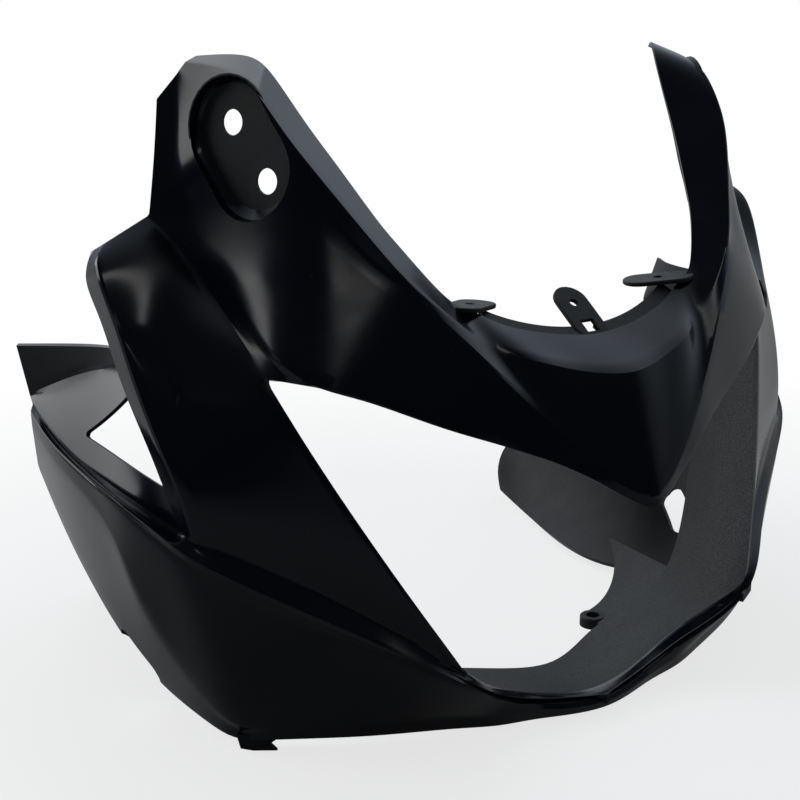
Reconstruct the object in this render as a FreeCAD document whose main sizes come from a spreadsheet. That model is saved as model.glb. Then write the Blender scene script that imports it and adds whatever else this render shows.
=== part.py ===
import FreeCAD, Part
import os

from FreeCAD import Placement, Rotation, Vector

# Headlight fairing of a sport motorcycle, in millimetres. +Z is up, the nose points to -Y and +X is the
# rider's left hand. The fairing stands on its lower edge with the origin under the middle of its box.

doc = FreeCAD.newDocument("headlight_fairing")
sheet = doc.addObject("Spreadsheet::Sheet", "Sizes")

SIZES = {
    # Overall size that the outlines are stretched to
    "body_width": 510,
    "body_length": 369,
    "body_height": 375,
    # Moulded walls
    "wall": 2.6,
    "edge_return": 6,
    # Mirror recess in each arm
    "recess_radius": 28,
    "recess_slot": 32,
    "recess_depth": 15,
    "mirror_hole_diameter": 14,
    "mirror_hole_spacing": 42,
    # Vent in the shelf of each wing, and the slot in each keel
    "vent_corner_radius": 5,
    "keel_slot_length": 40,
    "keel_slot_width": 18,
    # Tabs that carry the screen
    "screen_tab_width": 22,
    "screen_tab_length": 20,
    "screen_hole_set_out": 8,
    "screen_hole_diameter": 5.5,
    "clip_window": 9,
    # Tabs under the low corners
    "lower_tab_width": 22,
    "lower_tab_height": 10,
    # Headlight bosses on the surround
    "boss_diameter": 17,
    "boss_height": 7,
    "boss_hole_diameter": 9,
}

for number, (name, amount) in enumerate(SIZES.items(), start=1):
    sheet.set("A%d" % number, name)
    sheet.set("B%d" % number, str(amount))
    sheet.setAlias("B%d" % number, name)
doc.recompute()


def size(name):
    return float(getattr(sheet, name))


# Outlines at the overall size they were read at, right half from the middle outwards
DRAWN_WIDTH = 510
DRAWN_LENGTH = 369
DRAWN_HEIGHT = 375

# Hood and mirror arm: screen edge, strip crease, diagonal crease, lower edge, rear edge of the arm
SCREEN_EDGE = [(0, -134, 225), (30, -131, 228), (58, -124, 235), (76, -118, 244), (88, -111, 259),
               (103, -94, 284), (112, -80, 298), (123, -61, 318), (132, -40, 341), (140, -21, 364),
               (148, -9, 374), (159, 5, 375), (168, 16, 374)]
STRIP_CREASE = [(0, -163, 210), (28, -157, 213), (54, -149, 220), (72, -136, 226), (92, -129, 241),
                (114, -118, 262), (130, -102, 286), (147, -81, 316), (157, -64, 337), (162, -46, 355),
                (164, -30, 364), (168, -8, 369), (175, 15, 371)]
DIAGONAL_CREASE = [(0, -187, 144), (16, -182, 151), (40, -170, 173), (66, -155, 201), (88, -140, 227),
                   (113, -121, 255), (132, -101, 276), (149, -81, 303), (158, -64, 327),
                   (164, -46, 346), (166, -30, 356), (170, -7, 362), (177, 19, 367)]
HOOD_EDGE = [(0, -188, 136), (20, -181, 147), (48, -170, 164), (80, -154, 178), (111, -140, 190),
             (143, -122, 204), (164, -107, 212), (178, -88, 224), (180, -44, 253), (183, -1, 285),
             (184, 15, 305), (181, 18, 335), (178.5, 20.5, 364)]
ARM_EDGE = [(182, -83, 214), (182, -26, 247), (190, 7, 273), (196, 19, 292), (191, 26, 321),
            (187, 29, 351)]

OPENING_CORNER = 7

# Lower band: lip and foot of the pillar, ridge, crease of the lower panel, bulge of the keel, inner edge
FOOT_LINE = [(0, -143, 11), (40, -139, 17), (72, -138, 30), (105, -150, 57), (145, -124, 84),
             (182, -98, 108), (221, -68, 127), (234, -46, 136), (239, -25, 140), (244, 5, 146),
             (250, 44, 158), (251, 84, 171)]
RIDGE = [(0, -151, 10), (41, -146, 14), (73, -147, 26), (109, -157, 51), (149, -130, 75),
         (187, -101, 96), (224, -72, 119), (243, -51, 138), (248, -30, 144), (251, 0, 149),
         (255, 42, 158), (254, 80, 168)]
PANEL_CREASE = [(0, -154, 7), (42, -147, 10), (71, -142, 13), (98, -132, 15), (136, -115, 15),
                (173, -95, 15), (206, -79, 16), (222, -47, 46), (240, -31, 90), (248, -12, 126),
                (253, 40, 144), (252, 85, 157)]
KEEL_BULGE = [(0, -152, 2), (41, -144, 3), (69, -140, 5), (97, -131, 7), (136, -114, 7), (173, -94, 7),
              (205, -76, 7), (208, -28, 9), (214, 6, 18), (223, 40, 42), (230, 85, 78), (238, 117, 118)]
KEEL_EDGE = [(0, -143, 2), (39, -135, 3), (66, -132, 4), (93, -123, 5), (131, -106, 5), (167, -86, 5),
             (195, -68, 4), (173, -34, 4), (146, -2, 4), (139, 42, 4), (154, 106, 4), (180, 182, 4)]
LOW_CORNER = 6

# Pillar from the shoulder down to the foot: front edge, outer crease, rear edge
PILLAR_FRONT = [(194.5, 17, 288), (185.5, -9, 261), (181, -55, 233), (181, -86, 211), (163, -105, 172),
                (133, -136, 110), (105, -152, 55)]
PILLAR_CREASE = [(235, 2, 277), (243, -11, 266), (241, -26, 240), (237.5, -39, 211), (233, -54, 181),
                 (227, -66, 153), (220, -77, 129)]
PILLAR_REAR = [(238, 9, 273), (243, 6, 258), (241, -6, 238), (238, -21, 209), (233, -35, 181),
               (228, -47, 155), (226, -57, 131)]
PILLAR_CORNER = 3

# Wing behind the pillar: top of its wall, fold, and the line where its shelf meets the ridge band
WING_TOP = [(222, -50, 216), (217, -20, 215), (218, 24, 214), (232, 60, 210), (250, 106, 205)]
WING_FOLD = [(220, -55.5, 200), (215, -20, 199), (216, 25, 197), (226, 70, 188), (242, 112, 177)]
WING_FOOT = [(226, -62, 128.5), (241, -30, 138), (246.5, 8, 145.5), (251.5, 46, 156.5), (251.5, 82, 168)]

# Rebate under the screen: its free edge, and its seat below the screen edge
REBATE_EDGE = [(0, -126, 227), (30, -123, 230), (54, -117, 237), (64, -113, 242)]
REBATE_SEAT = [(0, -138, 221), (30, -135, 224), (58, -128, 231), (68, -124, 236)]

# Walls round the headlight, behind lip and pillar: free rear edge, fold of the ledge, root in the lip
SURROUND_EDGE = [(0, -103, 7), (35, -88, 10), (64, -76, 14), (106, -92, 30), (139, -73, 86),
                 (161, -51, 150), (172, -40, 195)]
SURROUND_FOLD = [(0, -120, 6), (37, -108, 10), (67, -104, 18), (102, -114, 40), (133, -104, 96),
                 (161, -78, 161), (175, -64, 200)]
SURROUND_ROOT = [(0, -145, 10), (40, -141, 15.5), (72, -140, 28), (106, -148.5, 57),
                 (133.5, -134.5, 109), (163.5, -103.5, 171), (179, -85.5, 206)]

# Horn at the rear of the ledge: free edge, and root in the ledge
HORN_EDGE = [(66, -56, 9.5), (90, -50, 11), (116, -32, 22), (129, -8, 34)]
HORN_ROOT = [(58, -82, 12.2), (80, -87, 18.5), (103, -95, 29.8), (122, -84, 36)]

# Places of single features on the right side
RECESS_CENTRE = (168, -31, 330)
RECESS_OUTWARD = (0.963, -0.245, 0.108)
RECESS_ALONG = (0.1, 0.866, 0.49)
MIRROR_HOLE_MIDDLE = (153, -14, 324)
MIRROR_HOLE_LINE = (0.12, 0.69, 0.71)
VENT_CORNERS = [(239, 20, 165), (222, -38, 191), (229, -50, 153)]
VENT_OUTWARD = (0.9, 0, 0.43)
VENT_REACH = 8
KEEL_SLOT_CENTRE = (216, 16, 25)
KEEL_SLOT_OUTWARD = (0.82, -0.05, -0.57)
KEEL_SLOT_ALONG = (0.24, 0.79, 0.56)
KEEL_SLOT_REACH = 14
MIDDLE_TAB_CENTRE = (0, -119, 234)
MIDDLE_TAB_ALONG = (0, 0.82, 0.57)
SIDE_TAB_CENTRE = (69, -107, 245)
SIDE_TAB_ALONG = (-0.83, 0.55, -0.1)
SIDE_TAB_OUTWARD = (-0.1, 0.03, 0.99)
LOWER_TAB_START = (203, -76, 10)
LOWER_TAB_ALONG = (-0.87, -0.49, 0)
LOWER_TAB_OUTWARD = (0.49, -0.87, 0)
BOSS_FOOT = (64, -67, 6)

# Edge of the left lower tab where a piece has broken off: steps along the tab and down from its top
DRAWN_TAB_WIDTH = 22
DRAWN_TAB_HEIGHT = 10
BROKEN_TAB = [(0, 0), (20, 0), (21.5, 3.5), (18.5, 5.5), (22.5, 10), (9, 9.6), (2, 8)]


def stretched_point(point):
    """One drawn point at the overall size in the sheet."""
    wide = size("body_width") / DRAWN_WIDTH
    long = size("body_length") / DRAWN_LENGTH
    tall = size("body_height") / DRAWN_HEIGHT
    return Vector(point[0] * wide, point[1] * long, point[2] * tall)


def stretched(outline):
    return [stretched_point(point) for point in outline]


def both_sides(half):
    """A half outline from the middle outwards, run from the left end to the right end."""
    left = [Vector(-point.x, point.y, point.z) for point in half[1:]]
    return left[::-1] + half


def both_corners(outline, station):
    """Stations of a corner on the left and on the right, counted along both halves."""
    middle = len(outline) - 1
    return (middle - station, middle + station)


def unit(vector):
    return vector / vector.Length


def inner_points(columns, wall):
    """The points of a skin's inner side, mitred at the creases between its strips."""
    inner = []
    last = len(columns) - 1
    for number, column in enumerate(columns):
        row = []
        for station, point in enumerate(column):
            ahead = column[min(station + 1, len(column) - 1)]
            behind = column[max(station - 1, 0)]
            along = ahead - behind
            normals = []
            if number > 0:
                normals.append(unit((point - columns[number - 1][station]).cross(along)))
            if number < last:
                normals.append(unit((columns[number + 1][station] - point).cross(along)))
            mitre = normals[0]
            if len(normals) == 2:
                mitre = (normals[0] + normals[1]) / max(1 + normals[0].dot(normals[1]), 0.6)
            row.append(point - mitre * wall)
        inner.append(row)
    return inner


def smooth_edges(row, steps, breaks, cornered):
    """The curve through a column of points, cut at the breaks: a cornered column turns sharply there."""
    edges = []
    if cornered:
        for first, last in zip(breaks, breaks[1:]):
            curve = Part.BSplineCurve()
            curve.interpolate(Points=row[first:last + 1], Parameters=steps[first:last + 1])
            edges.append(curve.toShape())
        return edges
    curve = Part.BSplineCurve()
    curve.interpolate(Points=row, Parameters=steps)
    return [curve.toShape(steps[first], steps[last]) for first, last in zip(breaks, breaks[1:])]


def thin_skin(columns, wall, corners=(), cornered=()):
    """A solid wall between creases: each strip is ruled from one column of points to the next.

    The columns numbered in cornered turn sharply at the stations in corners.
    """
    steps = [0.0]
    for station in range(1, len(columns[0])):
        chords = [(column[station] - column[station - 1]).Length for column in columns]
        steps.append(steps[-1] + sum(chords) / len(chords))
    breaks = [0] + list(corners) + [len(steps) - 1]

    inside = inner_points(columns, wall)
    outer = [smooth_edges(row, steps, breaks, number in cornered) for number, row in enumerate(columns)]
    inner = [smooth_edges(row, steps, breaks, number in cornered) for number, row in enumerate(inside)]
    pairs = []
    for side in (outer, inner):
        pairs += zip(side, side[1:])
    pairs += [(outer[0], inner[0]), (outer[-1], inner[-1])]
    faces = []
    for first, second in pairs:
        faces += [Part.makeRuledSurface(one, other) for one, other in zip(first, second)]
    for end in (0, -1):
        for number in range(len(columns) - 1):
            front = Part.makeLine(columns[number][end], columns[number + 1][end])
            back = Part.makeLine(inside[number][end], inside[number + 1][end])
            faces.append(Part.makeRuledSurface(front, back))
    shell = Part.Shell(faces)
    shell.sewShape()
    solid = Part.Solid(shell)
    if solid.Volume < 0:
        solid.reverse()
    return solid


def add_shape(name, shape):
    feature = doc.addObject("Part::Feature", name)
    feature.Shape = shape
    return feature


def turned(origin, along, outward):
    """A placement whose X axis runs along and whose Z axis points outward."""
    return Placement(Vector(*origin), Rotation(Vector(*along), Vector(), Vector(*outward), "ZXY"))


def mirrored(source):
    """The same feature on the left side."""
    copy = doc.addObject("Part::Mirroring", source.Name + "_left")
    copy.Source = source
    copy.Normal = Vector(1, 0, 0)
    return copy


def fused(name, pieces):
    union = doc.addObject("Part::MultiFuse", name)
    union.Shapes = pieces
    return union


def joined(name, pieces):
    """The pieces joined one after the other, as thin walls that meet at many places need."""
    whole = pieces[0]
    for number, piece in enumerate(pieces[1:], start=1):
        step = doc.addObject("Part::Fuse", "%s_%d" % (name, number))
        step.Base = whole
        step.Tool = piece
        whole = step
    return whole


def cylinder(name, radius, height, place):
    rod = doc.addObject("Part::Cylinder", name)
    rod.setExpression("Radius", radius)
    rod.setExpression("Height", height)
    rod.Placement = place
    return rod


def slot(name, length, radius, height, place):
    """A round-ended bar: its middle lies on the placement's origin and it rises along the placement's Z."""
    reach = sheet.evalExpression(length) / 2
    bar = doc.addObject("Part::Box", name + "_bar")
    bar.setExpression("Length", length)
    bar.setExpression("Width", "2 * (%s)" % radius)
    bar.setExpression("Height", height)
    half_width = sheet.evalExpression(radius)
    bar.Placement = place * Placement(Vector(-reach, -half_width, 0), Rotation())
    ends = []
    for number, x in enumerate((-reach, reach), start=1):
        end_place = place * Placement(Vector(x, 0, 0), Rotation())
        ends.append(cylinder("%s_end_%d" % (name, number), radius, height, end_place))
    return fused(name, [bar] + ends)


wall = size("wall")

# Painted shell: hood with arms, lower band with keels, pillars and wings
hood_edge = stretched(HOOD_EDGE)
arm_edge = stretched(ARM_EDGE)
return_step = Vector(0, size("edge_return"), 1)
flange = [point + return_step for point in hood_edge[:len(hood_edge) - len(arm_edge)]] + arm_edge
hood_columns = [stretched(outline) for outline in (SCREEN_EDGE, STRIP_CREASE, DIAGONAL_CREASE)]
hood_columns += [hood_edge, flange]
hood = add_shape("hood", thin_skin([both_sides(column) for column in hood_columns], wall,
                                   both_corners(HOOD_EDGE, OPENING_CORNER), cornered=(3, 4)))

band_outlines = (FOOT_LINE, RIDGE, PANEL_CREASE, KEEL_BULGE, KEEL_EDGE)
band_columns = [both_sides(stretched(outline)) for outline in band_outlines]
band = add_shape("lower_band", thin_skin(band_columns, wall, both_corners(FOOT_LINE, LOW_CORNER),
                                         cornered=(2, 3, 4)))

pillar_outlines = (PILLAR_REAR, PILLAR_CREASE, PILLAR_FRONT)
pillar_columns = [stretched(outline) for outline in pillar_outlines]
pillar = add_shape("pillar", thin_skin(pillar_columns, wall, (PILLAR_CORNER,), cornered=(2,)))

wing_outlines = (WING_TOP, WING_FOLD, WING_FOOT)
wing = add_shape("wing", thin_skin([stretched(outline) for outline in wing_outlines], wall))

# Plain inner parts: rebate under the screen, walls round the headlight and the horns behind its ledge
rebate_outlines = (REBATE_EDGE, REBATE_SEAT)
rebate_columns = [both_sides(stretched(outline)) for outline in rebate_outlines]
rebate = add_shape("screen_rebate", thin_skin(rebate_columns, wall))

surround_outlines = (SURROUND_EDGE, SURROUND_FOLD, SURROUND_ROOT)
surround_columns = [both_sides(stretched(outline)) for outline in surround_outlines]
surround = add_shape("surround", thin_skin(surround_columns, wall))

horn_columns = [stretched(outline) for outline in (HORN_EDGE, HORN_ROOT)]
horn = add_shape("horn", thin_skin(horn_columns, wall, range(1, len(HORN_EDGE) - 1), cornered=(0, 1)))

# Mirror recess: a cup behind the arm, the pocket that opens it and two holes through its floor
recess_centre = stretched_point(RECESS_CENTRE)
recess_outward = unit(Vector(*RECESS_OUTWARD))
floor_centre = recess_centre - recess_outward * size("recess_depth")
recess_floor = turned(floor_centre, RECESS_ALONG, RECESS_OUTWARD)
cup_base = turned(floor_centre - recess_outward * wall, RECESS_ALONG, RECESS_OUTWARD)
cup = slot("recess_cup", "Sizes.recess_slot", "Sizes.recess_radius + Sizes.wall",
           "Sizes.recess_depth + Sizes.wall / 2", cup_base)
pocket = slot("recess_pocket", "Sizes.recess_slot", "Sizes.recess_radius",
              "2 * Sizes.recess_depth", recess_floor)

hole_step = unit(Vector(*MIRROR_HOLE_LINE)) * (size("mirror_hole_spacing") / 2)
mirror_holes = []
for number, side in enumerate((-1, 1), start=1):
    start = stretched_point(MIRROR_HOLE_MIDDLE) - recess_outward * size("recess_depth") + hole_step * side
    mirror_holes.append(cylinder("mirror_hole_%d" % number, "Sizes.mirror_hole_diameter / 2",
                                 "2 * Sizes.recess_depth", turned(start, RECESS_ALONG, RECESS_OUTWARD)))

# Vent through the shelf of the wing: a triangle with round corners
vent_outward = unit(Vector(*VENT_OUTWARD))
vent_corners = [corner - vent_outward * VENT_REACH for corner in stretched(VENT_CORNERS)]
vent_face = Part.Face(Part.makePolygon(vent_corners + vent_corners[:1]))
vent_prism = vent_face.extrude(vent_outward * (2 * VENT_REACH))
corner_edges = [edge for edge in vent_prism.Edges
                if abs(edge.tangentAt(edge.FirstParameter).dot(vent_outward)) > 0.99]
vent = add_shape("vent", vent_prism.makeFillet(size("vent_corner_radius"), corner_edges))

# Slot through the bulge of the keel
slot_outward = unit(Vector(*KEEL_SLOT_OUTWARD))
slot_start = stretched_point(KEEL_SLOT_CENTRE) - slot_outward * KEEL_SLOT_REACH
keel_slot = slot("keel_slot", "Sizes.keel_slot_length - Sizes.keel_slot_width", "Sizes.keel_slot_width / 2",
                 "%d" % (2 * KEEL_SLOT_REACH), turned(slot_start, KEEL_SLOT_ALONG, KEEL_SLOT_OUTWARD))

# Tabs that carry the screen, their holes, and the clip window at the root of the middle tab
middle_tab_outward = Vector(0, -MIDDLE_TAB_ALONG[2], MIDDLE_TAB_ALONG[1])
middle_tab_under = turned(stretched_point(MIDDLE_TAB_CENTRE) - middle_tab_outward * wall, MIDDLE_TAB_ALONG,
                          middle_tab_outward)
middle_tab = slot("middle_tab", "Sizes.screen_tab_length", "Sizes.screen_tab_width / 2", "Sizes.wall",
                  middle_tab_under)
side_tab_outward = Vector(*SIDE_TAB_OUTWARD)
side_tab_under = turned(stretched_point(SIDE_TAB_CENTRE) - side_tab_outward * wall, SIDE_TAB_ALONG,
                        SIDE_TAB_OUTWARD)
side_tab = slot("side_tab", "Sizes.screen_tab_length", "Sizes.screen_tab_width / 2", "Sizes.wall",
                side_tab_under)

hole_set_out = Placement(Vector(size("screen_hole_set_out"), 0, -wall), Rotation())
middle_hole = cylinder("middle_tab_hole", "Sizes.screen_hole_diameter / 2", "3 * Sizes.wall",
                       middle_tab_under * hole_set_out)
side_hole = cylinder("side_tab_hole", "Sizes.screen_hole_diameter / 2", "3 * Sizes.wall",
                     side_tab_under * Placement(Vector(0, 0, -wall), Rotation()))
clip_window = doc.addObject("Part::Box", "clip_window")
clip_window.setExpression("Length", "Sizes.clip_window")
clip_window.setExpression("Width", "Sizes.clip_window")
clip_window.setExpression("Height", "4 * Sizes.wall")
window_half = size("clip_window") / 2
window_corner = Vector(-size("screen_tab_length") / 2 - window_half, -window_half, -1.5 * wall)
clip_window.Placement = middle_tab_under * Placement(window_corner, Rotation())

# Tabs under the low corners: whole on the right, broken on the left
tab_start = stretched_point(LOWER_TAB_START) - Vector(*LOWER_TAB_OUTWARD) * wall
lower_tab = doc.addObject("Part::Box", "lower_tab")
lower_tab.setExpression("Length", "Sizes.lower_tab_width")
lower_tab.setExpression("Width", "Sizes.lower_tab_height")
lower_tab.setExpression("Height", "Sizes.wall")
lower_tab.Placement = turned(tab_start, LOWER_TAB_ALONG, LOWER_TAB_OUTWARD)

tab_wide = size("lower_tab_width") / DRAWN_TAB_WIDTH
tab_tall = size("lower_tab_height") / DRAWN_TAB_HEIGHT
broken_outline = [Vector(along * tab_wide, down * tab_tall, 0) for along, down in BROKEN_TAB]
broken_face = Part.Face(Part.makePolygon(broken_outline + broken_outline[:1]))
broken_tab = add_shape("broken_tab", broken_face.extrude(Vector(0, 0, wall)))
broken_tab.Placement = turned(tab_start, LOWER_TAB_ALONG, LOWER_TAB_OUTWARD)

# Headlight boss on the horn
boss_foot = stretched_point(BOSS_FOOT)
boss = cylinder("boss", "Sizes.boss_diameter / 2", "Sizes.boss_height", Placement(boss_foot, Rotation()))
boss_hole = cylinder("boss_hole", "Sizes.boss_hole_diameter / 2", "3 * Sizes.boss_height",
                     Placement(boss_foot - Vector(0, 0, size("boss_height")), Rotation()))

# One moulding: all skins and tabs joined, then the pockets, vents, slots and holes cut
pieces = [hood]
for piece in (cup, pillar, wing, side_tab):
    pieces += [piece, mirrored(piece)]
pieces += [band, rebate, middle_tab, surround]
for piece in (horn, boss):
    pieces += [piece, mirrored(piece)]
pieces += [lower_tab, mirrored(broken_tab)]
blank = joined("blank", pieces)

right_cuts = [pocket, vent, keel_slot, side_hole, boss_hole] + mirror_holes
left_cuts = [mirrored(cut) for cut in right_cuts]
cuts = fused("cuts", [middle_hole, clip_window] + right_cuts + left_cuts)

fairing = doc.addObject("Part::Cut", "headlight_fairing")
fairing.Label = "headlight_fairing"
fairing.Base = blank
fairing.Tool = cuts
doc.recompute()

# Origin under the middle of the box, at the height of the lowest tab
box = fairing.Shape.optimalBoundingBox()
fairing.Placement = Placement(Vector(0, -box.Center.y, -box.ZMin), Rotation())
doc.recompute()

for item in doc.Objects:
    if "Invalid" in item.State or "Error" in item.State:
        raise ValueError("%s did not build" % item.Label)
if fairing.Shape.isNull() or not fairing.Shape.isValid() or len(fairing.Shape.Solids) != 1:
    raise ValueError("the fairing is not one sound solid")

os.makedirs("parts", exist_ok=True)
fairing.Shape.exportStep("parts/headlight_fairing.step")
print("headlight_fairing", fairing.Shape.optimalBoundingBox())
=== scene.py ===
# %% [markdown]
# # Headlight fairing of a sport motorcycle
# The part is one moulding: a creased hood with two mirror arms, pillars that frame the headlight opening,
# and wings and keels at the sides.

import math

import bmesh
import bpy
from mathutils import Matrix, Vector


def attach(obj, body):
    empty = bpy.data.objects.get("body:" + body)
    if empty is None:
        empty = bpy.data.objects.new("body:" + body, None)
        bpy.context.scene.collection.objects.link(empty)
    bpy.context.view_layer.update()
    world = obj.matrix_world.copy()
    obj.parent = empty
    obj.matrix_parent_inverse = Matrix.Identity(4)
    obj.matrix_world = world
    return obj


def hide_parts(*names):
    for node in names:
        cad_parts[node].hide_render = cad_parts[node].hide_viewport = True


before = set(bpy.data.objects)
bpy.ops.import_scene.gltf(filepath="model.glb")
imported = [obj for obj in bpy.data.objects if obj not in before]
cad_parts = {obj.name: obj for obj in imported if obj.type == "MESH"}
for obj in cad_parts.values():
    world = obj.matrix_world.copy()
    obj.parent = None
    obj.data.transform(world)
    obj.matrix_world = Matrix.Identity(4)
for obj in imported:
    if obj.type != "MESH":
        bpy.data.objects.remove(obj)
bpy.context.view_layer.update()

# %% [markdown]
# ## Camera
# The photograph looks at the nose from the rider's right and a little above. A camera could be moved by
# eye until the picture fits, but mirror pairs of points on the two halves give the place of the lens, so
# it is set from those numbers.

# %% Camera
MM = 0.001
SET_BACK = 2.65
LENS_PLACE = (-526, -730, 412)
LENS_FORWARD = (0.5297, 0.8021, -0.2758)
LENS_LENGTH, SENSOR_WIDTH = 65.25, 36
FARTHEST_SEEN = 200


def place(point):
    """A drawn point in millimetres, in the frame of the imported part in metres."""
    return Vector((point[0], point[1] + SET_BACK, point[2])) * MM


camera = bpy.data.objects.new("camera", bpy.data.cameras.new("camera"))
bpy.context.scene.collection.objects.link(camera)
camera.location = place(LENS_PLACE)
camera.rotation_euler = Vector(LENS_FORWARD).to_track_quat("-Z", "Y").to_euler()
camera.data.sensor_width = SENSOR_WIDTH
camera.data.lens = LENS_LENGTH
camera.data.clip_end = FARTHEST_SEEN
bpy.context.scene.camera = camera
print("camera", [round(v, 3) for v in camera.location])

# %% [markdown]
# ## Lines of the moulding
# A fairing is read by its creases. Each crease and edge of the rider's left half, where X is positive, is
# a short chain of points in millimetres. Neighbouring chains have the same number of points, so that they
# can be bridged to strips. Subdivision pulls a line inside its points, so a measured line is first
# swapped for control points that make the smooth line run through it.

# %% Line helpers
FITTING_ROUNDS = 14


def through(outline, corners=()):
    """Control points whose smooth line runs through the outline. Stations in corners stay sharp."""
    goal = [Vector(point) for point in outline]
    control = [point.copy() for point in goal]
    for _ in range(FITTING_ROUNDS):
        for number in range(len(goal) - 1):
            if number in corners or (number == 0 and goal[0].x > 0):
                continue
            after = control[number + 1]
            before = control[number - 1] if number else Vector((-after.x, after.y, after.z))
            # A smooth line settles at four sixths of its own point and one sixth of each neighbour.
            control[number] += goal[number] - (before + 4 * control[number] + after) / 6
    return [tuple(point) for point in control]


def between(first, second, share):
    """The chain that lies a share of the way from one chain to the next."""
    return [tuple(a + (b - a) * share for a, b in zip(p, q)) for p, q in zip(first, second)]


def moved(outline, step):
    """The same chain, a step further on."""
    return [tuple(a + b for a, b in zip(point, step)) for point in outline]


# %% [markdown]
# ## Hood and mirror arms
# The hood rises from the nose to the edge of the screen and runs on into the arms that carry the mirrors.
# Flat panels with bevels could follow it only roughly, so its edges and its two folds are lines of their
# own, and the last line turns in behind the hood's lower edge.

# %% Lines of the hood and the arms, from the nose to the arm's end
NOSE, OPENING_CORNER = 0, 7
RETURN_STEP = (0, 6, 1)
SCREEN_EDGE = through([
    (0, -134, 225), (30, -131, 228), (58, -124, 235), (76, -118, 244), (89, -112.6, 252), (104.4, -96, 275),
    (113, -81.5, 292), (123, -61, 317), (132, -40, 341), (140, -21, 364), (148, -9, 374), (159, 5, 375),
    (168, 16, 374)])
STRIP_CREASE = through([
    (0, -163, 210), (28, -157, 213), (54, -149, 220), (72, -136, 226), (92, -129, 241), (114, -118, 262),
    (130, -102, 286), (147, -81, 316), (157, -64, 337), (162, -46, 355), (164, -30, 364), (168, -8, 369),
    (175, 15, 371)])
DIAGONAL_CREASE = through([
    (0, -187, 144), (16, -182, 151), (40, -170, 173), (66, -155, 201), (88, -140, 227), (113, -121, 255),
    (132, -101, 276), (149, -81, 303), (158, -64, 327), (164, -46, 346), (166, -30, 356), (170, -7, 362),
    (177, 18, 367)], {NOSE})
HOOD_EDGE = through([
    (0, -188, 136), (20, -181, 147), (48, -170, 164), (80, -154, 178), (111, -140, 190), (143, -122, 204),
    (164, -107, 212), (178, -88, 224), (180, -44, 253), (186, -7, 286), (189, 4, 307), (184, 12, 336),
    (179, 19, 364)], {NOSE, OPENING_CORNER})
ARM_EDGE = through([
    (182, -83, 214), (184, -29, 248), (194, -2.5, 275), (199.5, 11, 293), (195, 17.5, 322), (189, 24, 351)])
HOOD_RETURN = moved(HOOD_EDGE[:OPENING_CORNER], RETURN_STEP) + ARM_EDGE
print("hood stations", len(SCREEN_EDGE))

# %% [markdown]
# ## Lower band and keels
# The chin and the band run under the headlight opening to the sides, and from the low corners the keels
# go on to the rear and turn in below. The thin groove under the ridge lies a small share of the way down
# the panel, so it is worked out from the lines on both sides.

# %% Lines of the lower band and the keels, from the chin to the rear
LOW_CORNER = 6
GROOVE_SHARE, PANEL_SHARE = 0.06, 0.12
GROOVE_STEP = (-0.6, 1.1, 0)
KEEL_REAR = (178, 194, 42)
FOOT_LINE = through([
    (0, -143, 11), (40, -139, 17), (72, -138, 30), (107, -148.5, 57), (145, -124, 84), (182, -98, 108),
    (216, -74, 126), (227, -57, 131), (237, -30, 139), (244, 5, 146), (250, 44, 158), (251, 84, 171)])
RIDGE = through([
    (0, -151, 10), (41, -146, 14), (73, -147, 26), (109, -157, 51), (149, -130, 75), (187, -101, 96),
    (221, -77, 117), (236, -61, 131), (247, -36, 143), (251, 0, 149), (255, 42, 158), (254, 80, 168)])
PANEL_CREASE = through([
    (0, -154, 7), (42, -147, 10), (71, -142, 13), (98, -132, 15), (136, -115, 15), (173, -95, 15),
    (206, -79, 16), (222, -47, 46), (240, -31, 90), (248, -12, 126), (253, 40, 144), (252, 85, 157)],
    {LOW_CORNER})
KEEL_BULGE = through([
    (0, -152, 2), (41, -144, 3), (69, -140, 5), (97, -131, 7), (136, -114, 7), (173, -94, 7),
    (205, -76, 7), (211, -27, 9), (218, 8, 18), (227, 42, 42), (233, 87, 78), (239, 117, 118)],
    {LOW_CORNER})
KEEL_EDGE = through([
    (0, -143, 2), (39, -135, 3), (66, -132, 4), (93, -123, 5), (131, -106, 5), (167, -86, 5),
    (195, -68, 4), (173, -34, 4), (146, -2, 4), (139, 42, 4), (154, 106, 4), (180, 182, 4)],
    {LOW_CORNER})
KEEL_SIDE = between(KEEL_BULGE, KEEL_EDGE, 0.5)[:-1] + [KEEL_REAR]
GROOVE = moved(between(RIDGE, PANEL_CREASE, GROOVE_SHARE), GROOVE_STEP)
PANEL_TOP = between(RIDGE, PANEL_CREASE, PANEL_SHARE)
print("band stations", len(FOOT_LINE))

# %% [markdown]
# ## Pillars
# A pillar on each side joins the arm to the band and frames the opening. Its front line takes its ends
# from the arm and the band, so that the weld closes the seams.

# %% Lines of the pillar, from the arm down to the band
FRONT_STATION, REAR_STATION = 3, 7
FRONT_FOOT, INNER_FOOT, OUTER_FOOT, CREASE_FOOT, REAR_FOOT = FOOT_LINE[FRONT_STATION:REAR_STATION + 1]
ARM_TOP = 3
PILLAR_FRONT = ARM_EDGE[ARM_TOP::-1] + [(165, -103.5, 172), (135, -134.5, 110), FRONT_FOOT]
PILLAR_CREASE = through([
    (235, 2, 277), (243, -11, 266), (241, -26, 240), (237.5, -39, 211), (233, -54, 181), (227, -66, 153),
    CREASE_FOOT])
PILLAR_REAR = through([
    (238, 9, 273), (243, 6, 258), (241, -6, 238), (238, -21, 209), (233, -35, 181), (228, -47, 155),
    REAR_FOOT])
PILLAR_INNER = between(PILLAR_FRONT, PILLAR_CREASE, 0.33)[:-1] + [INNER_FOOT]
PILLAR_OUTER = between(PILLAR_FRONT, PILLAR_CREASE, 0.66)[:-1] + [OUTER_FOOT]
print("pillar stations", len(PILLAR_FRONT))

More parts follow.
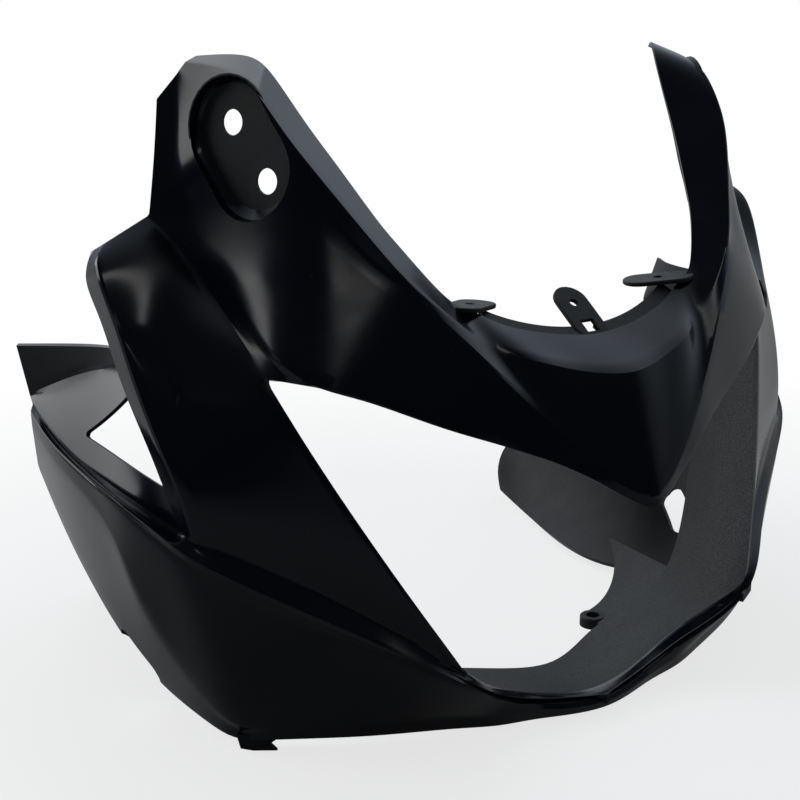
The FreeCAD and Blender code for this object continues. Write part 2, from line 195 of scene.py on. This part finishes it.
# %% [markdown]
# ## Wings and surround
# The wing is the low wall behind the pillar, with a vent in it. The surround is the unpainted return of
# the opening, which leads in to the headlight. Both grow from lines that are already there.

# %% Lines of the wing and of the surround of the headlight
WING_FOOT = FOOT_LINE[REAR_STATION:]
WING_FOLD = [(221, -55, 208), (216, -20, 207), (217, 25, 205), (228, 66, 192), (249, 94, 174)]
WING_TOP = [(222, -49, 216), (217, -20, 215), (218, 24, 214), (234, 57, 210), (257, 88, 207)]
# The surround grows from the foot line and then climbs the pillar's front to the corner of the opening.
SURROUND_ROOT = FOOT_LINE[:FRONT_STATION] + PILLAR_FRONT[:ARM_TOP - 1:-1]
SURROUND_FOLD = [
    (0, -120, 6), (37, -108, 10), (67, -104, 18), (102, -114, 40), (133, -104, 96), (161, -78, 161),
    (175, -64, 200)]
SURROUND_EDGE = [
    (0, -103, 7), (35, -88, 10), (64, -76, 14), (106, -92, 30), (139, -73, 86), (161, -51, 150),
    (172, -40, 195)]
print("wing stations", len(WING_FOOT), "surround stations", len(SURROUND_ROOT))

# %% [markdown]
# ## Cage of the shell
# The shell could be carved from a block, but a moulded sheet is easier to control as a cage: chains of
# vertices are bridged to strips, chains that share points are welded, and a crease value on each line
# says how tight its fold is. Only the rider's left half is drawn, because a mirror makes the other.

# %% Cage helpers
PAINT, PLAIN = 0, 1
FINISHES = [bpy.data.materials.new("gloss_black_paint"), bpy.data.materials.new("plain_black_plastic")]
WELD = 0.2 * MM


def chain(cage, outline):
    """Edges through the points of one outline."""
    verts = [cage.verts.new(place(point)) for point in outline]
    return [cage.edges.new(pair) for pair in zip(verts, verts[1:])]


def strips(cage, outlines, finish):
    """Bridges each outline to the next and gives the new faces a finish."""
    chains = [chain(cage, outline) for outline in outlines]
    for first, second in zip(chains, chains[1:]):
        made = bmesh.ops.bridge_loops(cage, edges=first + second)
        for face in made["faces"]:
            face.material_index = finish


def nearest(cage, point):
    """The vertex of the cage that lies nearest to a drawn point."""
    return min(cage.verts, key=lambda vert: (vert.co - place(point)).length)


# %% Bridge and weld the shell
cage = bmesh.new()
strips(cage, [SCREEN_EDGE, STRIP_CREASE, DIAGONAL_CREASE, HOOD_EDGE, HOOD_RETURN], PAINT)
strips(cage, [FOOT_LINE, RIDGE, GROOVE, PANEL_TOP, PANEL_CREASE, KEEL_BULGE, KEEL_SIDE, KEEL_EDGE], PAINT)
strips(cage, [PILLAR_REAR, PILLAR_CREASE, PILLAR_OUTER, PILLAR_INNER, PILLAR_FRONT], PAINT)
strips(cage, [WING_TOP, WING_FOLD, WING_FOOT], PAINT)
strips(cage, [SURROUND_EDGE, SURROUND_FOLD, SURROUND_ROOT], PLAIN)
bmesh.ops.remove_doubles(cage, verts=cage.verts, dist=WELD)
bmesh.ops.recalc_face_normals(cage, faces=cage.faces)
print("cage", len(cage.verts), "points", len(cage.faces), "faces",
      "edges with more than two faces:", sum(len(edge.link_faces) > 2 for edge in cage.edges))

# %% Tighten the folds, where 1 is a knife edge
FOLDS = [
    (STRIP_CREASE, 0.75), (DIAGONAL_CREASE, 0.8), (HOOD_EDGE, 0.7), (ARM_EDGE, 0.5), (RIDGE, 0.7),
    (GROOVE, 0.5), (PANEL_TOP, 0.5), (PANEL_CREASE, 0.7), (KEEL_BULGE, 0.85), (FOOT_LINE, 0.5),
    (PILLAR_FRONT, 0.6), (PILLAR_CREASE, 0.45), (WING_FOLD, 0.5)]
CORNERS = [
    (HOOD_EDGE, OPENING_CORNER), (ARM_EDGE, 0), (HOOD_EDGE, NOSE), (DIAGONAL_CREASE, NOSE),
    (PANEL_CREASE, LOW_CORNER), (KEEL_BULGE, LOW_CORNER), (KEEL_EDGE, LOW_CORNER)]
CORNER_CREASE = 0.3
edge_crease = cage.edges.layers.float.new("crease_edge")
for outline, amount in FOLDS:
    ends = [nearest(cage, point) for point in outline]
    for pair in zip(ends, ends[1:]):
        cage.edges.get(pair)[edge_crease] = amount
point_crease = cage.verts.layers.float.new("crease_vert")
for outline, station in CORNERS:
    nearest(cage, outline[station])[point_crease] = CORNER_CREASE
print("creased", len(FOLDS), "lines and", len(CORNERS), "corners")

# %% Turn the outside out
# An open sheet has no inside, so the face at the nose says which side is the outer one.
nose = min(cage.faces, key=lambda face: face.calc_center_median().y)
if nose.normal.y > 0:
    bmesh.ops.reverse_faces(cage, faces=cage.faces)
print("nose looks to", [round(v, 2) for v in nose.normal])

# %% [markdown]
# ## Shell
# The skin of the moulding is a thin wall. Both of its faces could be drawn, but modifiers do it with
# less: the mirror joins the halves, the subdivision rounds the strips between the creases, and the
# thickness grows inwards so that the painted face keeps its place. The inner face gets the plain plastic.

# %% Shell object
WALL = 2.6
ROUNDING = 3


def show(name, bm, finishes=FINISHES):
    """An object that shows a finished bmesh in its finishes."""
    mesh = bpy.data.meshes.new(name)
    for finish in finishes:
        mesh.materials.append(finish)
    bm.to_mesh(mesh)
    bm.free()
    piece = bpy.data.objects.new(name, mesh)
    bpy.context.scene.collection.objects.link(piece)
    return piece


def sheet(name, bm):
    """A moulded wall from a drawn half: mirrored, rounded and thickened inwards."""
    piece = show(name, bm)
    halves = piece.modifiers.new("halves", "MIRROR")
    halves.use_axis = (True, False, False)
    halves.merge_threshold = WELD
    rounded = piece.modifiers.new("rounded", "SUBSURF")
    rounded.levels = rounded.render_levels = ROUNDING
    rounded.boundary_smooth = "PRESERVE_CORNERS"
    wall = piece.modifiers.new("wall", "SOLIDIFY")
    wall.thickness = WALL * MM
    wall.offset = -1
    wall.material_offset = PLAIN
    return piece


shell = sheet("fairing_shell", cage)
print("shell drawn from", len(shell.data.polygons), "faces")

# %% [markdown]
# ## Plain inner parts
# Behind the painted skin the moulding is bare plastic: a seat and three tabs for the screen, horns and
# bosses for the headlight, cups behind the mirror recesses and tabs under the low corners. Thin walls are
# drawn as sheets, like the shell. Plates, bosses and cups are short closed bodies, and a few outlines
# that are bridged in layers make them quicker than bevelled boxes would.

# %% Helpers for closed bodies
ROUND_STEPS = 14
ROUND_LENGTH = 0.1


def axes(origin, along, outward):
    """A frame at a drawn point whose X runs along and whose Z points outward."""
    up = Vector(outward).normalized()
    side = Vector(along) - up * up.dot(Vector(along))
    side.normalize()
    turn = Matrix((side, up.cross(side), up)).transposed().to_4x4()
    return Matrix.Translation(place(origin)) @ turn


def bar_outline(length, radius):
    """Points round a bar with round ends, in millimetres."""
    ring = []
    for end, start in ((0.5, -90), (-0.5, 90)):
        for step in range(ROUND_STEPS + 1):
            angle = math.radians(start + 180 * step / ROUND_STEPS)
            ring.append((end * length + radius * math.cos(angle), radius * math.sin(angle)))
    return ring


def round_outline(radius):
    """A bar so short that it is round, while no two of its points meet."""
    return bar_outline(ROUND_LENGTH, radius)


def body(bm, rings, finish=PLAIN):
    """A closed body through rings of points. Gives back its end faces and the edges from ring to ring."""
    loops = []
    for ring in rings:
        verts = [bm.verts.new(point) for point in ring]
        loops.append([bm.edges.new(pair) for pair in zip(verts, verts[1:] + verts[:1])])
    faces, rails = [], []
    for low, high in zip(loops, loops[1:]):
        made = bmesh.ops.bridge_loops(bm, edges=low + high)
        faces += made["faces"]
        rails += made["edges"]
    ends = [bmesh.ops.edgeloop_fill(bm, edges=loop)["faces"][0] for loop in (loops[0], loops[-1])]
    for face in faces + ends:
        face.material_index = finish
    return ends, rails


def loft(bm, spot, layers, finish=PLAIN):
    """A closed body through layers of (outline, height) in the frame spot. Gives back its end faces."""
    rings = [[spot @ (Vector((x, y, height)) * MM) for x, y in outline] for outline, height in layers]
    ends, _ = body(bm, rings, finish)
    return ends


def both_sides(bm):
    """Adds the mirror image of all that is drawn."""
    bmesh.ops.mirror(bm, geom=bm.verts[:] + bm.edges[:] + bm.faces[:], axis="X", merge_dist=0)


def closed(name, bm):
    """Shows a bmesh of closed bodies with their faces turned outwards."""
    bmesh.ops.recalc_face_normals(bm, faces=bm.faces)
    return show(name, bm)


def face_up(bm):
    """Turns the faces of a lying sheet upwards."""
    for face in bm.faces:
        if face.normal.z < 0:
            face.normal_flip()


# %% [markdown]
# ## Seat and tabs of the screen
# The screen lies on a narrow step under the hood's edge and is held at three tabs with round ends. The
# step is a sheet of two lines, and each tab is a flat bar with a softened rim.

# %% Seat of the screen
SEAT_EDGE = [(0, -126, 227), (30, -123, 230), (54, -117, 237), (66, -112, 243)]
SEAT_ROOT = [(0, -138, 221), (30, -135, 224), (58, -128, 231), (70, -123, 237)]
bm = bmesh.new()
strips(bm, [SEAT_EDGE, SEAT_ROOT], PLAIN)
face_up(bm)
seat = sheet("screen_seat", bm)
print("screen seat drawn from", len(seat.data.polygons), "faces")

# %% Tabs of the screen
TAB_WIDTH, TAB_LENGTH, TAB_SOFTNESS = 22, 20, 0.5
middle_tab = axes((0, -119, 234), (0, 0.82, 0.57), (0, -0.57, 0.82))
side_tab = axes((69, -107, 245), (-0.83, 0.55, -0.1), (-0.1, 0.03, 0.99))
tab = bar_outline(TAB_LENGTH, TAB_WIDTH / 2)
rim = bar_outline(TAB_LENGTH, TAB_WIDTH / 2 - TAB_SOFTNESS)
tab_layers = [(rim, -WALL), (tab, -WALL + TAB_SOFTNESS), (tab, -TAB_SOFTNESS), (rim, 0)]
bm = bmesh.new()
loft(bm, side_tab, tab_layers)
both_sides(bm)
loft(bm, middle_tab, tab_layers)
tabs = closed("screen_tabs", bm)
print("screen tabs", len(tabs.data.polygons), "faces")

# %% [markdown]
# ## Horns and bosses of the headlight
# Two horns reach back from the surround, and at the root of each is a short round boss with a hole. The
# horns are sheets like the shell, and the bosses are lofted rounds with a softened top.

# %% Horns
HORN_EDGE = [(66, -56, 9.5), (90, -50, 11), (116, -32, 22), (129, -8, 34)]
HORN_ROOT = [(58, -82, 12.2), (80, -87, 18.5), (103, -95, 29.8), (122, -84, 36)]
bm = bmesh.new()
strips(bm, [HORN_EDGE, between(HORN_EDGE, HORN_ROOT, 0.5), HORN_ROOT], PLAIN)
face_up(bm)
horns = sheet("headlight_horns", bm)
print("horns drawn from", len(horns.data.polygons), "faces")

# %% Bosses
BOSS_RADIUS, BOSS_HEIGHT, BOSS_SOFTNESS = 8.5, 7, 0.8
boss_spot = axes((64, -67, 6), (1, 0, 0), (0, 0, 1))
bm = bmesh.new()
loft(bm, boss_spot, [(round_outline(BOSS_RADIUS), 0),
                     (round_outline(BOSS_RADIUS), BOSS_HEIGHT - BOSS_SOFTNESS),
                     (round_outline(BOSS_RADIUS - BOSS_SOFTNESS), BOSS_HEIGHT)])
both_sides(bm)
bosses = closed("headlight_bosses", bm)
print("bosses", len(bosses.data.polygons), "faces")

# %% [markdown]
# ## Cups of the mirror recesses
# Each arm has an oval recess where a mirror stands. The recess goes deeper than the wall, so a cup closes
# it from behind. The cup is lofted from the same outline as the tool that cuts the pocket, so that the
# two stay together.

# %% Cups
RECESS_RADIUS, RECESS_SLOT, RECESS_DEPTH = 26.5, 28, 7.5
FLOOR_RADIUS, FLOOR_SHIFT = 24.5, 1.5
CUP_WALL, CUP_SOFTNESS = 1.6, 1
CUP_TOP = -WALL / 3
RECESS_OUTWARD = (0.917, -0.386, 0.1)
recess = axes((169, -33.5, 328), (0.171, 0.608, 0.776), RECESS_OUTWARD)


def recess_outline(radius, shift=0):
    """The outline of the recess, moved up along the arm by a shift."""
    return [(x + shift, y) for x, y in bar_outline(RECESS_SLOT, radius)]


bm = bmesh.new()
loft(bm, recess, [(recess_outline(FLOOR_RADIUS - CUP_SOFTNESS, FLOOR_SHIFT), -RECESS_DEPTH - CUP_WALL),
                  (recess_outline(FLOOR_RADIUS + CUP_WALL, FLOOR_SHIFT), -RECESS_DEPTH + CUP_SOFTNESS),
                  (recess_outline(RECESS_RADIUS + CUP_WALL), CUP_TOP)])
both_sides(bm)
cups = closed("recess_cups", bm)
print("cups", len(cups.data.polygons), "faces")

# %% [markdown]
# ## Tabs under the low corners
# A flat tab hangs under each low corner. The one on the rider's left is whole, and the one on the rider's
# right has lost a piece. A mirror would repair it, so each has its own outline in its own frame.

# %% Low tabs
WHOLE_TAB = [(0, 0), (22, 0), (22, 10), (0, 10)]
BROKEN_TAB = [(0, 0), (20, 0), (21.5, -3.5), (18.5, -5.5), (22.5, -10), (9, -9.6), (2, -8)]
left_corner = axes((203, -76, 10), (-0.87, -0.49, 0), (0.49, -0.87, 0))
right_corner = axes((-203, -76, 10), (0.87, -0.49, 0), (-0.49, -0.87, 0))
bm = bmesh.new()
for corner, outline in ((left_corner, WHOLE_TAB), (right_corner, BROKEN_TAB)):
    loft(bm, corner, [(outline, -WALL), (outline, 0)])
low_tabs = closed("low_tabs", bm)
print("low tabs", len(low_tabs.data.polygons), "faces")

# %% [markdown]
# ## Openings
# The openings could be left out of the cage, but then every line would have to bend round them, so tools
# cut them from the finished walls. The first set has the mirror pockets with their rolled rims, the vents
# of the wings, the slots of the keels and the clip window. The drills for the mirrors, tabs and bosses
# are a second set, because the mirror drills cross the pockets and the tools of one set may not overlap.

# %% Mirror pockets
POCKET_ROUND = 2
# The rolled rim in steps: how much wider, and at what height. The last one stands clear of the arm.
RIM_ROLL = [(0, -2.5), (0.6, -1), (1, 3), (1, 40)]
bm = bmesh.new()
pocket_layers = [(recess_outline(FLOOR_RADIUS - POCKET_ROUND, FLOOR_SHIFT), -RECESS_DEPTH),
                 (recess_outline(FLOOR_RADIUS, FLOOR_SHIFT), -RECESS_DEPTH + POCKET_ROUND)]
pocket_layers += [(recess_outline(RECESS_RADIUS + wider), height) for wider, height in RIM_ROLL]
pocket_floor, _ = loft(bm, recess, pocket_layers, PAINT)
pocket_floor.material_index = PLAIN
print("pocket layers", len(pocket_layers))

# %% Vents and slots
VENT_CORNERS = [(235, 31, 161.5), (219, -2, 199), (229, -50, 153)]
VENT_REACH, VENT_ROUND, VENT_STEPS = 8, 5, 9
vent_reach = Vector((0.9, 0, 0.43)).normalized() * VENT_REACH * MM
corners = [place(corner) for corner in VENT_CORNERS]
inner = [corner - vent_reach for corner in corners]
outer = [corner + vent_reach for corner in corners]
_, rails = body(bm, [inner, outer])
bmesh.ops.bevel(bm, geom=rails, offset=VENT_ROUND * MM, segments=VENT_STEPS, profile=0.5, affect="EDGES",
                material=-1)

SLOT_LENGTH, SLOT_WIDTH, SLOT_REACH = 40, 18, 14
keel_slot = axes((217.5, 13.5, 29), (0.24, 0.79, 0.56), (0.82, -0.05, -0.57))
slot = bar_outline(SLOT_LENGTH - SLOT_WIDTH, SLOT_WIDTH / 2)
loft(bm, keel_slot, [(slot, -SLOT_REACH), (slot, SLOT_REACH)])
both_sides(bm)
print("pockets, vents and slots", len(bm.faces), "faces")

# %% Clip window of the middle tab
WINDOW_WIDTH, WINDOW_REACH, WINDOW_SHIFT = 9, 7, -10
window = middle_tab @ Matrix.Translation((WINDOW_SHIFT * MM, 0, 0))
half = WINDOW_WIDTH / 2
square = [(-half, -half), (half, -half), (half, half), (-half, half)]
loft(bm, window, [(square, -WINDOW_REACH), (square, WINDOW_REACH)])
tools = closed("cutting_tools", bm)
print("tools", len(tools.data.polygons), "faces")

# %% Drills
MIRROR_HOLE, MIRROR_REACH, HOLE_SPACING = 14, 6, 39
TAB_HOLE, TAB_REACH, MIDDLE_HOLE_SHIFT = 5.5, 8, 8
BOSS_HOLE, BOSS_REACH = 9, 14
HOLE_MIDDLE = Vector((161.8, -32, 325.7))
HOLE_LINE = Vector((0.179, 0.623, 0.761))


def drill(bm, spot, width, reach):
    """A round tool that reaches to both sides of a spot."""
    ring = round_outline(width / 2)
    loft(bm, spot, [(ring, -reach), (ring, reach)])


bm = bmesh.new()
for side in (-0.5, 0.5):
    hole = HOLE_MIDDLE + HOLE_LINE * HOLE_SPACING * side
    drill(bm, axes(hole, HOLE_LINE, RECESS_OUTWARD), MIRROR_HOLE, MIRROR_REACH)
drill(bm, side_tab, TAB_HOLE, TAB_REACH)
drill(bm, boss_spot, BOSS_HOLE, BOSS_REACH)
both_sides(bm)
drill(bm, middle_tab @ Matrix.Translation((MIDDLE_HOLE_SHIFT * MM, 0, 0)), TAB_HOLE, TAB_REACH)
drills = closed("drills", bm)
print("drills", len(drills.data.polygons), "faces")

# %% [markdown]
# ## Cut and join
# Boolean modifiers take the tools out of every wall but the low tabs, which no tool meets. The cut walls
# are then read into one mesh, because the part is one moulding. Faces are shaded smooth, and a fold
# past a small angle stays crisp.

# %% Cut and join
SHARP_FOLD = 16
walls = [shell, seat, tabs, horns, bosses, cups]
for wall in walls:
    for tool in (tools, drills):
        cut = wall.modifiers.new("openings", "BOOLEAN")
        cut.operation = "DIFFERENCE"
        cut.solver = "MANIFOLD"
        cut.object = tool

graph = bpy.context.evaluated_depsgraph_get()
whole = bmesh.new()
for wall in walls + [low_tabs]:
    cut_mesh = bpy.data.meshes.new_from_object(wall.evaluated_get(graph))
    print(wall.name, len(cut_mesh.polygons), "faces")
    whole.from_mesh(cut_mesh)
for drawn in walls + [low_tabs, tools, drills]:
    bpy.data.objects.remove(drawn)

fairing = show("fairing", whole)
for polygon in fairing.data.polygons:
    polygon.use_smooth = True
fairing.data.set_sharp_from_angle(angle=math.radians(SHARP_FOLD))
print("fairing", len(fairing.data.polygons), "faces")

# %% [markdown]
# ## Finishes
# Two finishes show on the part. Both are built from noise on Object coordinates, so that nothing has to
# be unwrapped and the pattern doesn't stretch over the folds. A few helpers keep the node trees short.

# %% Node helpers
def open_nodes(material):
    """The nodes, links and main shader of a material."""
    material.use_nodes = True
    nodes = material.node_tree.nodes
    return nodes, material.node_tree.links, nodes["Principled BSDF"]


def noise(nodes, links, scale, detail, stretch=(1, 1, 1)):
    """Noise that is fixed to the piece."""
    coords = nodes.new("ShaderNodeTexCoord")
    spread = nodes.new("ShaderNodeMapping")
    spread.inputs["Scale"].default_value = stretch
    texture = nodes.new("ShaderNodeTexNoise")
    texture.inputs["Scale"].default_value = scale
    texture.inputs["Detail"].default_value = detail
    links.new(coords.outputs["Object"], spread.inputs["Vector"])
    links.new(spread.outputs["Vector"], texture.inputs["Vector"])
    return texture.outputs["Fac"]


def ramp(nodes, links, source, start, end, low, high):
    """A value that runs from low to high while its source runs from start to end."""
    spread = nodes.new("ShaderNodeMapRange")
    spread.inputs["From Min"].default_value = start
    spread.inputs["From Max"].default_value = end
    spread.inputs["To Min"].default_value = low
    spread.inputs["To Max"].default_value = high
    links.new(source, spread.inputs["Value"])
    return spread.outputs["Result"]


def colour_mix(nodes, links, factor, first, second):
    """A colour that goes from the first to the second with a factor."""
    mix = nodes.new("ShaderNodeMix")
    mix.data_type = "RGBA"
    mix.inputs["A"].default_value = first
    mix.inputs["B"].default_value = second
    links.new(factor, mix.inputs["Factor"])
    return mix.outputs["Result"]


def bump(nodes, links, source, shader, distance):
    """A fine relief on a shader."""
    relief = nodes.new("ShaderNodeBump")
    relief.inputs["Distance"].default_value = distance
    links.new(source, relief.inputs["Height"])
    links.new(relief.outputs["Normal"], shader.inputs["Normal"])


# %% [markdown]
# ## Gloss paint
# The outside is gloss black with a breath of blue, fine smears and a few light specks of wear. The smears
# only change the roughness, so that they show where the paint mirrors something bright.

# %% Gloss paint
PAINT_BLACK = (0.004, 0.006, 0.0125, 1)
SPECK_GREY = (0.06, 0.062, 0.066, 1)
LACQUER_IOR = 1.5
WAVINESS = 0.0006
nodes, links, shader = open_nodes(FINISHES[PAINT])
shader.inputs["IOR"].default_value = LACQUER_IOR
specks = ramp(nodes, links, noise(nodes, links, scale=260, detail=2), start=0.76, end=0.80, low=0, high=1)
links.new(colour_mix(nodes, links, specks, PAINT_BLACK, SPECK_GREY), shader.inputs["Base Color"])
smear = noise(nodes, links, scale=11, detail=5, stretch=(1, 1, 2.2))
links.new(ramp(nodes, links, smear, start=0.35, end=0.65, low=0.11, high=0.2), shader.inputs["Roughness"])
bump(nodes, links, noise(nodes, links, scale=7, detail=1), shader, WAVINESS)
print("paint nodes", len(nodes))

# %% [markdown]
# ## Plain plastic
# The inside is the bare black plastic of the moulding, which is matte and grained. A cloudy noise makes
# it lighter where it is worn, and a very fine one gives the grain.

# %% Plain plastic
PLASTIC_BLACK = (0.018, 0.019, 0.02, 1)
PLASTIC_WORN = (0.028, 0.029, 0.0305, 1)
PLASTIC_SPECULAR = 0.3
GRAIN_DEPTH = 0.0001
nodes, links, shader = open_nodes(FINISHES[PLAIN])
shader.inputs["Specular IOR Level"].default_value = PLASTIC_SPECULAR
clouds = noise(nodes, links, scale=34, detail=4, stretch=(1, 1.4, 1))
wear = ramp(nodes, links, clouds, start=0.42, end=0.75, low=0, high=1)
links.new(colour_mix(nodes, links, wear, PLASTIC_BLACK, PLASTIC_WORN), shader.inputs["Base Color"])
grain = noise(nodes, links, scale=900, detail=3)
links.new(ramp(nodes, links, grain, start=0.35, end=0.65, low=0.45, high=0.62), shader.inputs["Roughness"])
bump(nodes, links, grain, shader, GRAIN_DEPTH)
print("plastic nodes", len(nodes))

# %% [markdown]
# ## Place in the frame
# There is only one body, because nothing moves.

# %% Hand the fairing to the frame
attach(fairing, "root")
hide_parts("headlight_fairing")
print("fairing stands for", list(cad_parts))

# %% [markdown]
# ## Studio floor
# The photograph has a plain white ground and its light comes from behind the part, so faces that look up
# or away mirror a bright room and faces that look at the lens stay black. A plain white floor would light
# the front as well. This one is white to the lens, fades to clear white away from the part, and is
# mirrored only where it lies behind.

# %% Floor helpers
BACKWARD = (0.551, 0.834, 0)


def combine(nodes, links, operation, first, second):
    """One value from two."""
    both = nodes.new("ShaderNodeMath")
    both.operation = operation
    links.new(first, both.inputs[0])
    links.new(second, both.inputs[1])
    return both.outputs["Value"]


def how_far_back(nodes, links, vector):
    """How far a vector reaches away from the lens."""
    along = nodes.new("ShaderNodeVectorMath")
    along.operation = "DOT_PRODUCT"
    along.inputs[1].default_value = BACKWARD
    links.new(vector, along.inputs[0])
    return along.outputs["Value"]


# %% Floor
FLOOR_REACH = 40
SEEN_WHITE, BOUNCE_GREY = (0.93, 0.93, 0.93, 1), (0.3, 0.3, 0.3, 1)
FLOOR_ROUGHNESS, FLOOR_SPECULAR = 0.8, 0.1
bm = bmesh.new()
bmesh.ops.create_grid(bm, x_segments=1, y_segments=1, size=FLOOR_REACH)
floor_white = bpy.data.materials.new("floor_white")
floor = show("floor", bm, [floor_white])
nodes, links, shader = open_nodes(floor_white)
rays = nodes.new("ShaderNodeLightPath").outputs
colour = colour_mix(nodes, links, rays["Is Camera Ray"], BOUNCE_GREY, SEEN_WHITE)
links.new(colour, shader.inputs["Base Color"])
shader.inputs["Roughness"].default_value = FLOOR_ROUGHNESS
shader.inputs["Specular IOR Level"].default_value = FLOOR_SPECULAR
spot = nodes.new("ShaderNodeTexCoord").outputs["Object"]
distance = nodes.new("ShaderNodeVectorMath")
distance.operation = "LENGTH"
links.new(spot, distance.inputs[0])

seen = ramp(nodes, links, distance.outputs["Value"], start=0.3, end=0.75, low=0.75, high=1)
seen = combine(nodes, links, "MULTIPLY", rays["Is Camera Ray"], seen)
mirrored = ramp(nodes, links, how_far_back(nodes, links, spot), start=-0.25, end=0.1, low=0, high=0.25)
mirrored = combine(nodes, links, "MULTIPLY", rays["Is Glossy Ray"], mirrored)
white = nodes.new("ShaderNodeEmission")
white.inputs["Color"].default_value = (1, 1, 1, 1)
white.inputs["Strength"].default_value = 1
ground = nodes.new("ShaderNodeMixShader")
links.new(combine(nodes, links, "ADD", seen, mirrored), ground.inputs["Fac"])
links.new(shader.outputs["BSDF"], ground.inputs[1])
links.new(white.outputs["Emission"], ground.inputs[2])
links.new(ground.outputs["Shader"], nodes["Material Output"].inputs["Surface"])
print("floor nodes", len(nodes))

# %% [markdown]
# ## World and lamps
# The world is white to the lens, and for the part it is bright only behind and above it. Two large panels
# stand behind the part and give most of its light. Two small ones, above and in front, add weak gleams on
# faces that look at the lens. The Standard view keeps the white ground a clear white.

# %% World
ROOM_BLUE, CLEAR_WHITE = (0.78, 0.88, 1.0, 1), (1, 1, 1, 1)
world = bpy.data.worlds.new("studio")
bpy.context.scene.world = world
world.use_nodes = True
nodes, links = world.node_tree.nodes, world.node_tree.links
background = nodes["Background"]
rays = nodes.new("ShaderNodeLightPath").outputs
colour = colour_mix(nodes, links, rays["Is Camera Ray"], ROOM_BLUE, CLEAR_WHITE)
links.new(colour, background.inputs["Color"])
direction = nodes.new("ShaderNodeTexCoord").outputs["Generated"]
height = nodes.new("ShaderNodeSeparateXYZ")
links.new(direction, height.inputs["Vector"])
behind = ramp(nodes, links, how_far_back(nodes, links, direction), start=-0.15, end=0.55, low=0.06, high=1)
above = ramp(nodes, links, height.outputs["Z"], start=-0.1, end=0.5, low=0.22, high=0.8)
glow = combine(nodes, links, "MULTIPLY", behind, above)
links.new(combine(nodes, links, "MAXIMUM", glow, rays["Is Camera Ray"]), background.inputs["Strength"])
print("world nodes", len(nodes))


# %% Lamps
def lamp(name, spot, aim, width, height, watts):
    """A flat panel that shines from a spot to an aim, in metres."""
    data = bpy.data.lights.new(name, "AREA")
    data.shape = "RECTANGLE"
    data.size = width
    data.size_y = height
    data.energy = watts
    panel = bpy.data.objects.new(name, data)
    bpy.context.scene.collection.objects.link(panel)
    panel.location = spot
    panel.rotation_euler = (Vector(aim) - Vector(spot)).to_track_quat("-Z", "Y").to_euler()
    print(name, watts, "W")


lamp("back_panel", spot=(0.5, 1.5, 1.7), aim=(0, 0, 0.1), width=2.4, height=1.6, watts=8)
lamp("window", spot=(-1.45, 1.45, 1.05), aim=(-0.1, 0, 0.2), width=1.7, height=1.4, watts=16)
lamp("top_panel", spot=(0.43, -1.1, 1.92), aim=(-0.05, -0.1, 0.2), width=1.0, height=0.14, watts=0.8)
lamp("front_panel", spot=(-1.2, -1.54, 1.14), aim=(-0.14, -0.1, 0.25), width=0.2, height=0.08, watts=0.12)
bpy.context.scene.view_settings.view_transform = "Standard"
